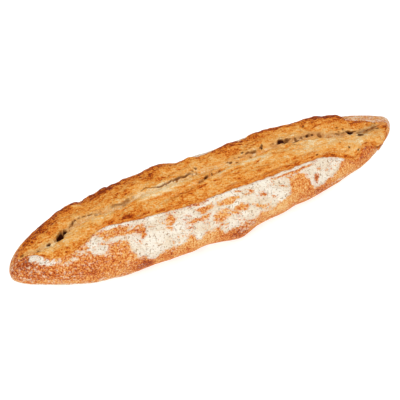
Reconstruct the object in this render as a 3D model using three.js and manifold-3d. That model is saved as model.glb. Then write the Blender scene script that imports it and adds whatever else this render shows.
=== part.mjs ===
// A rustic baguette: one solid loaf with one long cut along its top, which opened in the oven.
// Millimetres, +Z up. +X runs along the loaf, and +Y points to the side of the lifted flap.
// The origin lies on the baking stone, under the middle of the loaf.
//
// A place on the crust is given by its station, -1 at one tip and +1 at the other, and by its angle
// about the loaf's long axis, in degrees: 0 is the front (-Y), 90 the top and 180 the back (+Y).

import * as THREE from 'three';
import { mergeVertices } from 'three/addons/utils/BufferGeometryUtils.js';
import { ImprovedNoise } from 'three/addons/math/ImprovedNoise.js';
import Module from 'manifold-3d';

// ---- Driving dimensions ----------------------------------------------------------------------

const LENGTH = 380;
const HALF_WIDTH = 44;
const CROWN = 52; // height of the round dough body, without the flap
const WAIST = 0.45; // height of the widest line, as a share of the crown

const TIP_ROUNDING = { near: 2.45, far: 1.75 }; // a higher power makes a fuller shoulder at that tip
const TIP_LIFT = { near: 7.2, far: 5.4 }; // how far the underside stands off the stone at each tip
const LIFT_START = { near: 0.48, far: 0.62 }; // station at which the underside begins to rise
const NOSE_RISE = 10; // the point of each tip lies this much higher still
const SHOULDER = { near: 0.44, far: 0.56 }; // a lower power keeps the crown high until nearer that tip
const DOME_POWER = 2.15; // roundness of the cross-section over the waist: 2 is an ellipse
const BELLY_POWER = 2.6; // and under it, where the loaf is squarer
const UNDERSIDE_SINK = 3; // the round underside settled this far, into a flat base
const BASE_SOFTNESS = 2; // height over which the wall turns into the base
const BASE_TO_WALL = [-0.9, -0.5]; // sines of the angles between which the skin's unevenness begins

// The dough was rolled by hand, so its middle line wanders and its girth isn't even.
const SWAY = [
  [-1, 6.4], [-0.85, 4.6], [-0.5, 4.1], [0, -1.4], [0.5, 1.6], [0.88, 2.8], [0.95, 4.2], [1, 9.2],
];
const GIRTH = [[-1, 1], [-0.5, 1.04], [0, 0.97], [0.5, 1], [0.75, 0.99], [0.9, 0.86], [1, 0.74]];

// The cut, as three lines of angles: the front edge of the skin, the crease at the bottom of the
// cut, and the crest of the flap that lifted behind it. At the far end all three turn to the front.
const FRONT_EDGE = [
  [-1, 95], [-0.955, 94], [-0.92, 89], [-0.885, 70], [-0.86, 53], [-0.83, 43], [-0.77, 41],
  [-0.7, 49], [-0.64, 59], [-0.58, 64], [-0.5, 58], [-0.4, 53], [-0.2, 48], [0, 48], [0.2, 44],
  [0.4, 41], [0.5, 38], [0.6, 25], [0.67, 13], [0.7, 15], [0.73, 23], [0.755, 24], [0.79, 16],
  [0.82, 2], [0.845, -10], [0.865, -6], [0.885, 6], [0.905, 24], [0.925, 40], [0.94, 50], [1, 52],
];
const CREASE = [
  [-1, 98], [-0.955, 97], [-0.92, 92], [-0.86, 78], [-0.77, 84], [-0.7, 98], [-0.63, 103],
  [-0.5, 96], [-0.43, 95], [-0.35, 104], [-0.28, 99], [-0.1, 109], [0, 102], [0.1, 98], [0.3, 97],
  [0.37, 102], [0.45, 94], [0.53, 91], [0.6, 78], [0.69, 68], [0.75, 56], [0.85, 54], [0.94, 52],
  [1, 54],
];
const CREST = [
  [-1, 104], [-0.955, 112], [-0.93, 128], [-0.86, 139], [-0.7, 142], [-0.2, 140], [0, 128],
  [0.3, 133], [0.5, 130], [0.6, 126], [0.7, 118], [0.75, 108], [0.8, 94], [0.85, 79], [0.89, 68],
  [0.93, 58], [1, 56],
];
const CUT_ENDS = [-0.955, 0.95]; // stations at which the cut begins and ends
const CUT_FADE = { near: 0.05, far: 0.03 }; // length over which it closes at either end
const CUT_HOLD = 2.2; // a higher number keeps the cut's relief nearer the tips

const SKIN_LIP = 1.2; // the cut edge of the skin curls up this far
const SKIN_LIP_WIDTH = 4; // degrees
const EDGE_GROOVE = 1.4; // the torn dough begins this far below the lip
const EDGE_GROOVE_WIDTH = 4; // degrees
const SOFT_TO_CRISP = [-0.78, -0.5]; // stations between which lip and groove grow from nothing
const TORN_START = 2; // degrees over which the torn dough's own unevenness begins
const BAND_BULGE = 1.8; // the torn dough between edge and crease swells this far
const CREASE_DEPTH = [
  [-1, 1.5], [-0.8, 2.2], [-0.66, 3], [-0.5, 4.5], [0.3, 5], [0.6, 4], [0.8, 3], [1, 1.5],
];
const CREASE_WIDTH = 9; // degrees
const FLAP_RISE = [
  [-1, 0.5], [-0.85, 1.2], [-0.75, 2.4], [-0.68, 4], [-0.62, 3.8], [-0.595, 2.4], [-0.53, 1.4],
  [-0.465, 3.8], [-0.42, 2.6], [-0.38, 3.6], [-0.32, 2], [-0.25, 4], [-0.2, 4.8], [-0.15, 3],
  [-0.1, 2.4], [-0.06, 3.8], [-0.02, 2.6], [0.15, 4], [0.21, 2.4], [0.27, 4.4], [0.35, 4], [0.5, 4],
  [0.58, 5.8], [0.7, 5.8], [0.73, 4.8], [0.75, 2], [0.8, 0.8], [1, 0.5],
];
const FLAP_CURVE = 1.4; // a higher power lifts the flap nearer its crest
const FLAP_LEAN = 1.8; // how far the flap's edge leans out over the skin behind it
const FLAP_EDGE = 5; // degrees over which the flap ends behind its crest
// A rim closes the far end of the cut.
const END_RIM = { station: 0.92, rise: 1.6, long: 0.025, wide: 8 };

// Lengths along the loaf, called long, are half lengths as a share of half the loaf. Widths round
// it, called wide, are half widths in degrees.

// Where the flap tore as it lifted.
const TEARS = [
  { station: -0.59, long: 0.016, depth: 1.4 },
  { station: -0.452, long: 0.012, depth: 1 },
  { station: 0.2, long: 0.014, depth: 1.2 },
  { station: 0.745, long: 0.016, depth: 1.6 },
];

// Folds and furrows in the torn dough, from [station, angle] to [station, angle]. A furrow's rise
// is negative.
const FOLDS = [
  { from: [-0.43, 86], to: [-0.1, 93], rise: 2.8, wide: 9 }, // pale tongue across the cut
  { from: [-0.28, 72], to: [-0.15, 74], rise: -1.8, wide: 4.5 }, // furrow under the tongue
  { from: [-0.14, 78], to: [0.05, 92], rise: -3.2, wide: 4 }, // second crease
  { from: [-0.15, 68.5], to: [-0.075, 72], rise: -2, wide: 3.5 },
  { from: [-0.1, 77], to: [0.22, 84], rise: 1.8, wide: 5 }, // ridge beside it
  { from: [0.165, 76], to: [0.215, 78], rise: -1.6, wide: 3.5 },
  { from: [0.18, 73], to: [0.29, 81], rise: 1.2, wide: 6 },
  { from: [-0.88, 52], to: [-0.68, 50], rise: 0.8, wide: 8 },
  { from: [-0.3, 62], to: [-0.16, 60], rise: 1, wide: 4 },
  { from: [0, 62], to: [0.4, 58], rise: 1, wide: 4 },
  { from: [0.38, 62], to: [0.66, 50], rise: 1.2, wide: 6 },
  { from: [0.6, 34], to: [0.75, 36], rise: 2, wide: 13 }, // two lobes of the turned end
  { from: [0.77, 24], to: [0.92, 18], rise: 2.8, wide: 20 },
  { from: [0.74, 53], to: [0.93, 55], rise: -2, wide: 6 }, // gutter between them and the flap
  { from: [0.7, 95], to: [0.87, 73], rise: 0.8, wide: 6 },
  { from: [0.5, 113], to: [0.71, 106], rise: 0.8, wide: 9 },
  { from: [0.04, 112], to: [0.18, 117], rise: -0.8, wide: 5 },
  { from: [-0.4, 119], to: [-0.21, 128], rise: 0.8, wide: 7.5 },
  { from: [-0.61, 116], to: [-0.52, 114], rise: -0.8, wide: 4 },
  { from: [-0.86, 112], to: [-0.6, 120], rise: 1.6, wide: 8 },
];

// Swellings of the skin, and hollows where the rise is negative.
const SWELLS = [
  { station: 0, angle: -16, long: 0.09, wide: 34, rise: 2.8 }, // burst at the foot of the front
  { station: -0.17, angle: -16, long: 0.13, wide: 34, rise: -3.2 },
  { station: -0.29, angle: -16, long: 0.08, wide: 34, rise: -1.4 },
  { station: -0.42, angle: -16, long: 0.14, wide: 34, rise: -2.2 },
  { station: 0.17, angle: -16, long: 0.12, wide: 34, rise: -1.6 },
  { station: 0.31, angle: -16, long: 0.1, wide: 34, rise: -2.2 },
  { station: 0.64, angle: -16, long: 0.14, wide: 34, rise: -2 },
  { station: -0.8, angle: -16, long: 0.14, wide: 34, rise: -1.4 },
  { station: -0.92, angle: -20, long: 0.14, wide: 60, rise: -3.2 },
  { station: 0.88, angle: 125, long: 0.08, wide: 50, rise: -1.6 },
  { station: -0.28, angle: 200, long: 0.2, wide: 32, rise: 1.8 },
  { station: 0.36, angle: 195, long: 0.18, wide: 30, rise: 2 },
  { station: 0.08, angle: 172, long: 0.12, wide: 26, rise: -1.4 },
];

// Holes that open in the crease, or the given degrees off it. Size is length, width and twice the
// depth, in millimetres.
const HOLES = [
  { station: -0.821, off: 5, size: [4.6, 2.6, 5] },
  { station: -0.758, off: 5.5, size: [8.5, 8.5, 13] },
  { station: -0.732, off: 6, size: [5.5, 3.6, 9] },
  { station: -0.467, off: 6.5, size: [18, 4.4, 3] },
  { station: 0.372, off: 5.5, size: [7, 3.4, 4] },
  { station: 0.404, off: 5, size: [3.8, 3.4, 4] },
  { station: 0.715, off: 6.5, size: [6.4, 5.4, 8] },
  { station: 0.757, off: -5, size: [6.6, 5, 7] },
];

// Unevenness of the surface, in millimetres: spacing along the loaf, spacing round it, and height.
const SKIN_LUMPS = { along: 38, round: 30, rise: 1.6 };
const SKIN_DIMPLES = { along: 15, round: 12, rise: 0.5 };
const BAND_STRANDS = { along: 30, round: 9, rise: 2 };

// Facets: rings along the loaf, and columns in each lane round it. Lanes run between the base and
// the three lines of the cut, so that its edges fall on columns.
const RINGS = 67;
const LANES = { backSkin: 16, backBand: 16, frontBand: 24, frontSkin: 22 };
const LANE_CROWDING = 0.6; // 0 spaces a lane's columns evenly, and 1 crowds them at its two edges
const TIP_CROWDING = 0.7; // 0 spaces the rings evenly, and 1 crowds them at the tips
const HOLE_FACETS = [12, 8];
const SLIVER = 1e-6; // the least size of a cross-section
const WELD = 1e-4; // vertices nearer than this become one

// ---- Helpers ---------------------------------------------------------------------------------

const degrees = THREE.MathUtils.degToRad;
const step = THREE.MathUtils.smoothstep; // step(x, low, high)
const perlin = new ImprovedNoise();

// A smooth curve through [station, value] points.
function along(points, station) {
  const last = points.length - 2;
  let i = 0;
  while (i < last && station > points[i + 1][0]) i += 1;
  const slope = (j) => {
    const [a, b] = [points[Math.max(j - 1, 0)], points[Math.min(j + 1, last + 1)]];
    return (b[1] - a[1]) / (b[0] - a[0]);
  };
  const [x0, y0] = points[i];
  const [x1, y1] = points[i + 1];
  const span = x1 - x0;
  const t = THREE.MathUtils.clamp((station - x0) / span, 0, 1);
  const pull = t * (1 - t) * ((1 - t) * slope(i) - t * slope(i + 1)) * span;
  return y0 + (y1 - y0) * t * t * (3 - 2 * t) + pull;
}

// 1 at the middle of a bump and 0 beyond its half width.
const bump = (distance, halfWidth) => step(halfWidth - Math.abs(distance), 0, halfWidth);

// The short way round from one angle to another.
const turn = (angle, from) => THREE.MathUtils.euclideanModulo(angle - from + 180, 360) - 180;

// Unevenness at a point. It is read in space, so that it has no seam.
const uneven = ({ along: spacing, round, rise }, point) =>
  rise * perlin.noise(point.x / spacing, point.y / round, point.z / round);

// ---- The dough body --------------------------------------------------------------------------

const tipOf = (station) => (station < 0 ? 'near' : 'far');
const taper = (station) => Math.max(1 - Math.abs(station) ** TIP_ROUNDING[tipOf(station)], 0);
const fullness = (station) => taper(station) ** SHOULDER[tipOf(station)];

// Radius of the cross-section in the direction of an angle, about a centre at the widest line.
function bodyRadius(station, angle) {
  const halfWidth = Math.max(HALF_WIDTH * Math.sqrt(taper(station)) * along(GIRTH, station), SLIVER);
  const height = Math.max(CROWN * fullness(station), SLIVER);
  const upwards = Math.sin(degrees(angle));
  const reach = upwards > 0 ? height * (1 - WAIST) : height * WAIST + UNDERSIDE_SINK * taper(station);
  const power = upwards > 0 ? DOME_POWER : BELLY_POWER;
  const across = Math.abs(Math.cos(degrees(angle))) / halfWidth;
  return (across ** power + (Math.abs(upwards) / reach) ** power) ** (-1 / power);
}

function middleHeight(station) {
  const lift = TIP_LIFT[tipOf(station)] * step(Math.abs(station), LIFT_START[tipOf(station)], 1);
  return THREE.MathUtils.lerp(NOSE_RISE, CROWN * WAIST, fullness(station)) + lift;
}

// The point of the plain dough body, raised by some relief and leaning to the back.
function bodyPoint(station, angle, rise = 0, lean = 0) {
  const radius = bodyRadius(station, angle) + rise;
  return new THREE.Vector3(
    (station * LENGTH) / 2,
    along(SWAY, station) - radius * Math.cos(degrees(angle)) + lean,
    middleHeight(station) + radius * Math.sin(degrees(angle)));
}

// The stone stops the underside: low points are flat, with a soft turn into the wall.
function rest(z) {
  if (z >= BASE_SOFTNESS) return z;
  return z <= -BASE_SOFTNESS ? 0 : (z + BASE_SOFTNESS) ** 2 / (4 * BASE_SOFTNESS);
}

// ---- The cut and the surface -----------------------------------------------------------------

// How far the cut is open at a station, from 0 to 1.
const opening = (station) =>
  step(station - CUT_ENDS[0], 0, CUT_FADE.near) * step(CUT_ENDS[1] - station, 0, CUT_FADE.far);

const flapRise = (station) => TEARS.reduce(
  (rise, tear) => rise - tear.depth * bump(station - tear.station, tear.long),
  along(FLAP_RISE, station));

// How much a point belongs to the edge of the flap: it grows from the crease up to the crest.
function flapShare(station, angle) {
  const crease = along(CREASE, station);
  const crest = along(CREST, station);
  if (angle > crest) return 1 - step(angle, crest, crest + FLAP_EDGE);
  return step(angle, crease, crest) ** FLAP_CURVE;
}

function foldRelief(station, angle) {
  return FOLDS.reduce((sum, { from, to, rise, wide }) => {
    const t = (station - from[0]) / (to[0] - from[0]);
    const line = from[1] + (to[1] - from[1]) * t;
    return sum + rise * bump(t - 0.5, 0.5) * bump(angle - line, wide);
  }, 0);
}

// Height of the surface over the dough body, inside the cut and at its edges.
function cutRelief(station, angle) {
  const [edge, crease, crest] = [FRONT_EDGE, CREASE, CREST].map((line) => along(line, station));
  const inside = step(angle, edge, edge + TORN_START) * (1 - step(angle, crest, crest + FLAP_EDGE));
  const bulge = BAND_BULGE * bump(angle - (edge + crease) / 2, (crease - edge) / 2);
  const crisp = step(station, ...SOFT_TO_CRISP);
  const lip = crisp * SKIN_LIP * bump(angle - edge + SKIN_LIP_WIDTH / 2, SKIN_LIP_WIDTH);
  const groove = crisp * EDGE_GROOVE * bump(angle - edge - EDGE_GROOVE_WIDTH, EDGE_GROOVE_WIDTH);
  const crack = along(CREASE_DEPTH, station) * bump(angle - crease, CREASE_WIDTH);
  const strands = inside * uneven(BAND_STRANDS, bodyPoint(station, angle));
  return bulge + lip - groove - crack + strands + flapRise(station) * flapShare(station, angle);
}

// The raised rim that closes the far end of the cut, between the edge of the skin and the crest.
function rimRelief(station, angle) {
  const [edge, crest] = [along(FRONT_EDGE, station), along(CREST, station)];
  const across = step(angle, edge - END_RIM.wide, edge) * (1 - step(angle, crest, crest + END_RIM.wide));
  return END_RIM.rise * across * bump(station - END_RIM.station, END_RIM.long);
}

// Height of the surface over the dough body. All of it fades out at the tips, the cut's last.
function relief(station, angle) {
  const plain = bodyPoint(station, angle);
  const swells = SWELLS.reduce(
    (sum, swell) => sum + swell.rise * bump(station - swell.station, swell.long)
      * bump(turn(angle, swell.angle), swell.wide), 0);
  const skin = uneven(SKIN_LUMPS, plain) + uneven(SKIN_DIMPLES, plain) + swells;
  const offBase = step(Math.sin(degrees(angle)), ...BASE_TO_WALL);
  const cut = opening(station) * (cutRelief(station, angle) + foldRelief(station, angle));
  const roundness = Math.sqrt(taper(station));
  return roundness * offBase * skin + Math.min(1, CUT_HOLD * roundness) * cut + rimRelief(station, angle);
}

// The point of the crust at a station and angle.
function crustPoint(station, angle) {
  const lean = FLAP_LEAN * flapShare(station, angle) * opening(station);
  const point = bodyPoint(station, angle, relief(station, angle), lean);
  point.z = rest(point.z);
  return point;
}

// ---- Making the mesh -------------------------------------------------------------------------

// The angle of a column at a station, by the lane that the column is in.
function columnAngle(column, station) {
  const stops = [
    [0, 270],
    [LANES.backSkin, along(CREST, station)],
    [LANES.backBand, along(CREASE, station)],
    [LANES.frontBand, along(FRONT_EDGE, station)],
    [LANES.frontSkin, -90],
  ];
  let first = 0;
  for (let i = 1; i < stops.length; i += 1) {
    const [count, angle] = stops[i];
    const t = (column - first) / count;
    const crowded = t - (LANE_CROWDING * Math.sin(2 * Math.PI * t)) / (2 * Math.PI);
    if (t <= 1) return THREE.MathUtils.lerp(stops[i - 1][1], angle, crowded);
    first += count;
  }
  return -90;
}

// A sphere with its poles at the tips is rolled out into the loaf. Its uv says where each vertex is.
function rolledLoaf() {
  const columns = Object.values(LANES).reduce((sum, count) => sum + count, 0);
  const ball = new THREE.SphereGeometry(1, columns, RINGS);
  const { position, uv } = ball.attributes;
  for (let i = 0; i < position.count; i += 1) {
    const t = 2 * uv.getY(i) - 1;
    const station = THREE.MathUtils.lerp(t, Math.sin((t * Math.PI) / 2), TIP_CROWDING);
    const point = Math.abs(t) === 1
      ? new THREE.Vector3((t * LENGTH) / 2, along(SWAY, t), middleHeight(t))
      : crustPoint(station, columnAngle(Math.round(uv.getX(i) * columns), station));
    position.setXYZ(i, point.x, point.y, point.z);
  }
  return ball;
}

// An egg-shaped hole, set in the crease with its length along it. The crease's direction there is
// taken from points a little before and after.
const HOLE_REACH = 0.02;

function hole({ station, off, size }) {
  const creasePoint = (at) => crustPoint(at, along(CREASE, at) + off);
  const [before, after] = [station - HOLE_REACH, station + HOLE_REACH].map(creasePoint);
  const length = after.sub(before).normalize();
  const angle = degrees(along(CREASE, station) + off);
  const outward = new THREE.Vector3(0, -Math.cos(angle), Math.sin(angle));
  const width = new THREE.Vector3().crossVectors(outward, length).normalize();
  const pose = new THREE.Matrix4().makeBasis(length, width, length.clone().cross(width));
  return new THREE.SphereGeometry(0.5, ...HOLE_FACETS)
    .scale(...size)
    .applyMatrix4(pose.setPosition(creasePoint(station)));
}

// ---- Joining ---------------------------------------------------------------------------------

const wasm = await Module();
wasm.setup();

function toSolid(geometry) {
  const bare = geometry.clone().deleteAttribute('normal').deleteAttribute('uv');
  const merged = mergeVertices(bare, WELD);
  return new wasm.Manifold(new wasm.Mesh({
    numProp: 3,
    vertProperties: merged.attributes.position.array,
    triVerts: new Uint32Array(merged.index.array),
  }));
}

function toGeometry(solid) {
  const { numProp, vertProperties, triVerts } = solid.getMesh();
  const geometry = new THREE.BufferGeometry();
  const corners = new THREE.InterleavedBuffer(vertProperties, numProp);
  geometry.setAttribute('position', new THREE.InterleavedBufferAttribute(corners, 3, 0));
  geometry.setIndex(new THREE.BufferAttribute(triVerts, 1));
  geometry.computeVertexNormals();
  return geometry;
}

const dough = HOLES.reduce((solid, each) => solid.subtract(toSolid(hole(each))), toSolid(rolledLoaf()));

const crust = new THREE.MeshStandardMaterial({ color: 0xd98a45, roughness: 0.85, metalness: 0 });
const loaf = new THREE.Mesh(toGeometry(dough), crust);
loaf.name = 'baguette';

const baguette = new THREE.Group();
baguette.add(loaf);

export default baguette;
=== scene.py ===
# %% [markdown]
# # A rustic baguette
# A baker rolls a length of dough, dusts it with flour and cuts it once along the top. In the oven
# the cut tears open: the smooth floured skin stays, the torn dough inside it browns, and the skin
# on one side lifts into a flap. This lesson builds that loaf as one mesh and one material.
# The frame comes first: the solid that the looks have to fit.

# %% The frame
import math

import bmesh
import bpy
import numpy as np
from mathutils import Matrix, Vector, noise


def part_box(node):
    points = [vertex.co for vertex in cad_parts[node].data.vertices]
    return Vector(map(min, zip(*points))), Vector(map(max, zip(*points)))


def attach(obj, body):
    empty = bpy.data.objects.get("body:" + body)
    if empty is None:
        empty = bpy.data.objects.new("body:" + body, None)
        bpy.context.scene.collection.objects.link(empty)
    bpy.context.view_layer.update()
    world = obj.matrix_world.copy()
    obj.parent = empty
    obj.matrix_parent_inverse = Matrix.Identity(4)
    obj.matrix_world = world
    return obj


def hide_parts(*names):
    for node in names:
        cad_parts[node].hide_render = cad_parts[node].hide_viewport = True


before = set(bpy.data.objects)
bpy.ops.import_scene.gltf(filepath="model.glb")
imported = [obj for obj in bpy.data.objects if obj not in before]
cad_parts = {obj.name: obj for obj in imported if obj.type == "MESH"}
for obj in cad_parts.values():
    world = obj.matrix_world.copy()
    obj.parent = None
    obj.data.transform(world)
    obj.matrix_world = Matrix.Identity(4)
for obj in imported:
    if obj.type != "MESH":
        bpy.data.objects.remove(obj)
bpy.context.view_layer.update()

low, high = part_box("baguette")
MM = 0.001
LENGTH = (high.x - low.x) / MM
print(f"the solid loaf is {LENGTH:.0f} mm long, {(high.y - low.y) / MM:.0f} wide")

# %% [markdown]
# ## Places on the crust
# Every feature of a loaf sits at a place along it and a place around it. So a point of the crust is
# given by its station, -1 at one tip and +1 at the other, and by its angle about the long axis: 0 is
# the front, 90 the top, 180 the back. Working in those two numbers, on whole arrays at once, keeps
# each feature down to a line or two. Lengths are in millimetres until the mesh is written.

# %% Steps, bumps and smooth curves
def step(value, start, end):
    """0 up to start, 1 from end on, and a soft turn between them."""
    t = np.clip((value - start) / (end - start), 0, 1)
    return t * t * (3 - 2 * t)


def bump(distance, half_width):
    """1 at the middle of a bump and 0 beyond its half width."""
    return step(half_width - np.abs(distance), 0, half_width)


def mix(start, end, share):
    return start + (end - start) * share


def curve(points, station):
    """A smooth curve through (station, value) points."""
    at, value = np.array(points, float).T
    count = len(at)
    before, after = np.maximum(np.arange(count) - 1, 0), np.minimum(np.arange(count) + 1, count - 1)
    slope = (value[after] - value[before]) / (at[after] - at[before])
    i = np.clip(np.searchsorted(at, station, side="right") - 1, 0, count - 2)
    span = at[i + 1] - at[i]
    t = np.clip((station - at[i]) / span, 0, 1)
    pull = t * (1 - t) * ((1 - t) * slope[i] - t * slope[i + 1]) * span
    return mix(value[i], value[i + 1], t * t * (3 - 2 * t)) + pull


def unevenness(place, along, around, seed=0):
    """Noise from about -1 to 1, with its own spacing along the loaf and around it."""
    spots = place / (along, around, around) + 17.3 * seed
    return np.array([noise.noise(spot) for spot in spots.tolist()])


print("half way up a bump:", bump(5, 10))

# %% [markdown]
# ## The dough body
# Under its crust the loaf is a long rounded body: squarer below than above, flat where it lay on the
# stone, with blunt lifted tips. A stack of cross-sections describes it well. Each one is a
# superellipse, which is an ellipse whose power can be raised to make it squarer.

# %% The cross-section of the dough
HALF_WIDTH = 44
CROWN = 52  # height of the round body, without the flap
WAIST = 0.45  # height of the widest line, as a share of the crown
TIP_ROUNDING = {"near": 2.45, "far": 1.75}  # a higher power makes a blunter tip
TIP_LIFT = {"near": 7.2, "far": 5.4}  # how far each tip stands clear of the stone
LIFT_START = {"near": 0.48, "far": 0.62}  # how far from the middle its lift begins
NOSE_RISE = 10  # height of the very tips, without their lift
SHOULDER = {"near": 0.44, "far": 0.56}  # a lower power keeps the crown high until nearer the tip
DOME_POWER, BELLY_POWER = 2.15, 2.6  # squareness over and under the waist: 2 is an ellipse
UNDERSIDE_SINK = 3  # how far the round underside settled, into a flat base
BASE_SOFTNESS = 2  # height over which the wall turns into the base
# along the loaf: how far its axis swings to the back, and its share of the full width
SWAY = [
    (-1, 6.4), (-0.85, 4.6), (-0.5, 4.1), (0, -1.4), (0.5, 1.6), (0.88, 2.8), (0.95, 4.2), (1, 9.2)]
GIRTH = [(-1, 1), (-0.5, 1.04), (0, 0.97), (0.5, 1), (0.75, 0.99), (0.9, 0.86), (1, 0.74)]
SLIVER = 1e-6  # a hair's breadth, against rounding and against dividing by nothing


def by_tip(values, station):
    """The value for the tip on this side of the middle."""
    return np.where(station < 0, values["near"], values["far"])


def taper(station):
    """1 at the middle of the loaf and 0 at its tips."""
    return np.clip(1 - np.abs(station) ** by_tip(TIP_ROUNDING, station), 0, 1)


def fullness(station):
    """The same, for the height of the crown."""
    return taper(station) ** by_tip(SHOULDER, station)


def body_radius(station, angle):
    """From the middle of a cross-section out to its superellipse."""
    half_width = HALF_WIDTH * np.sqrt(taper(station)) * curve(GIRTH, station) + SLIVER
    height = CROWN * fullness(station) + SLIVER
    upwards = np.sin(np.radians(angle))
    below = height * WAIST + UNDERSIDE_SINK * taper(station)
    reach = np.where(upwards > 0, height * (1 - WAIST), below)
    power = np.where(upwards > 0, DOME_POWER, BELLY_POWER)
    across = np.abs(np.cos(np.radians(angle))) / half_width
    return (across**power + (np.abs(upwards) / reach) ** power) ** (-1 / power)


def middle_height(station):
    """The height of the widest line."""
    lift = by_tip(TIP_LIFT, station) * step(np.abs(station), by_tip(LIFT_START, station), 1)
    return mix(NOSE_RISE, CROWN * WAIST, fullness(station)) + lift


def body_place(station, angle, rise=0.0, lean=0.0):
    """Points of the body, raised by some relief and leaning to the back."""
    radius = body_radius(station, angle) + rise
    x = station * LENGTH / 2
    y = curve(SWAY, station) - radius * np.cos(np.radians(angle)) + lean
    z = middle_height(station) + radius * np.sin(np.radians(angle))
    return np.stack([x, y, z], axis=1)


middle = body_place(np.array([0.0, 0.0]), np.array([0.0, 90.0]))
print("front and top of the middle, mm:", middle.round(1).tolist())

# %% [markdown]
# ## The three lines of the cut
# The cut is bounded by two lines, the front edge of the skin and the crest of the lifted flap, and
# the crease runs between them. They are drawn as smooth curves and then frayed with a little
# noise, because dough tears unevenly. The mesh is laid out along them later, so they stay crisp.

# %% Front edge, crease and crest
STATIONS = np.linspace(-1, 1, 1601)  # close enough together for the smallest tears


def frayed(points, amount, spacing, seed):
    """The curve through some points, with noise on it, as a function of the station."""
    spots = STATIONS * LENGTH / 2 / spacing
    fray = [noise.noise((spot, seed, 0)) + 0.5 * noise.noise((2.3 * spot, seed, 5)) for spot in spots]
    line = curve(points, STATIONS) + amount * np.array(fray)
    return lambda station: np.interp(station, STATIONS, line)


edge = frayed(
    [(-1, 95), (-0.955, 94), (-0.92, 89), (-0.885, 70), (-0.86, 53), (-0.83, 43), (-0.77, 41),
     (-0.7, 49), (-0.64, 59), (-0.58, 64), (-0.5, 58), (-0.4, 53), (-0.2, 48), (0, 48), (0.2, 44),
     (0.4, 41), (0.5, 38), (0.6, 25), (0.67, 13), (0.7, 15), (0.73, 23), (0.755, 24), (0.79, 16),
     (0.82, 2), (0.845, -10), (0.865, -6), (0.885, 6), (0.905, 24), (0.925, 40), (0.94, 50),
     (1, 52)],
    amount=1.4, spacing=11, seed=3)
crease = frayed(
    [(-1, 98), (-0.955, 97), (-0.92, 92), (-0.86, 78), (-0.77, 84), (-0.7, 98), (-0.63, 103),
     (-0.5, 96), (-0.43, 95), (-0.35, 104), (-0.28, 99), (-0.1, 109), (0, 102), (0.1, 98), (0.3, 97),
     (0.37, 102), (0.45, 94), (0.53, 91), (0.6, 78), (0.69, 68), (0.75, 56), (0.85, 54), (0.94, 52),
     (1, 54)],
    amount=2.2, spacing=9, seed=5)
crest = frayed(
    [(-1, 104), (-0.955, 112), (-0.93, 128), (-0.86, 139), (-0.7, 142), (-0.2, 140), (0, 128),
     (0.3, 133), (0.5, 130), (0.6, 126), (0.7, 118), (0.75, 108), (0.8, 94), (0.85, 79), (0.89, 68),
     (0.93, 58), (1, 56)],
    amount=2.0, spacing=16, seed=7)
CUT_ENDS = (-0.955, 0.95)
CUT_FADE = {"near": 0.05, "far": 0.03}  # the stretch over which it closes at either end


def opening(station):
    """How far the cut is open, from 0 to 1."""
    near = step(station - CUT_ENDS[0], 0, CUT_FADE["near"])
    return near * step(CUT_ENDS[1] - station, 0, CUT_FADE["far"])


print("edge, crease and crest at the middle:", [round(line(0)) for line in (edge, crease, crest)])

# %% [markdown]
# ## One sphere, rolled out
# A closed tube could be lofted ring by ring, but a UV sphere already is one: its poles become the
# two tips, its rings the cross-sections. Turning its poles onto the long axis leaves every vertex
# knowing its own station and column. The columns are then shared out in four lanes between the
# stone and the three lines of the cut, with more of them where the torn dough needs detail.

# %% Where each vertex goes
RINGS = 400
LANES = {"back skin": 54, "back band": 52, "front band": 62, "front skin": 76}
COLUMNS = sum(LANES.values())
LANE_CROWDING = 0.45  # 0 spaces a lane's columns evenly, and 1 crowds them at its two edges
TIP_CROWDING = 0.5  # 0 spaces the rings evenly, and 1 crowds them at the tips
UNDER_BACK, UNDER_FRONT = 270, -90  # the same line under the loaf, reached from either side
SEAM_SLACK = 0.01  # degrees by which a point of that line may miss it

loaf_mesh = bmesh.new()
bmesh.ops.create_uvsphere(loaf_mesh, u_segments=COLUMNS, v_segments=RINGS, radius=1)
turn_to_x = Matrix.Rotation(math.radians(90), 3, "Y")
bmesh.ops.rotate(loaf_mesh, verts=loaf_mesh.verts, cent=(0, 0, 0), matrix=turn_to_x)
on_sphere = np.array([vertex.co for vertex in loaf_mesh.verts])

t = 1 - 2 * np.arccos(np.clip(on_sphere[:, 0], -1, 1)) / np.pi
station = mix(t, np.sin(t * np.pi / 2), TIP_CROWDING)
turned = np.degrees(np.arctan2(on_sphere[:, 2], -on_sphere[:, 1]))
turned = np.where(turned < UNDER_FRONT - SEAM_SLACK, turned + 360, turned)
column = (UNDER_BACK - turned) / 360 * COLUMNS


def lane_angle(column, station):
    """The angle of each column, by the lane that it is in."""
    level = np.ones_like(station)
    lines = [UNDER_BACK * level, crest(station), crease(station), edge(station), UNDER_FRONT * level]
    angle = np.empty_like(station)
    first = 0
    for count, start, end in zip(LANES.values(), lines, lines[1:]):
        share = (column - first) / count
        crowded = share - LANE_CROWDING * np.sin(2 * np.pi * share) / (2 * np.pi)
        inside = (share > -SLIVER) & (share < 1 + SLIVER)
        angle[inside] = mix(start, end, crowded)[inside]
        first += count
    return angle


angle = lane_angle(column, station)
plain = body_place(station, angle)
print(f"{len(station)} points in {RINGS} rings and {COLUMNS} columns")

# %% [markdown]
# ## Shares: what each point belongs to
# The same few questions decide both shape and colour. Is this point torn dough or skin? How far up
# the flap is it? How far from the crease, in millimetres? They are answered once, here.

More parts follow.
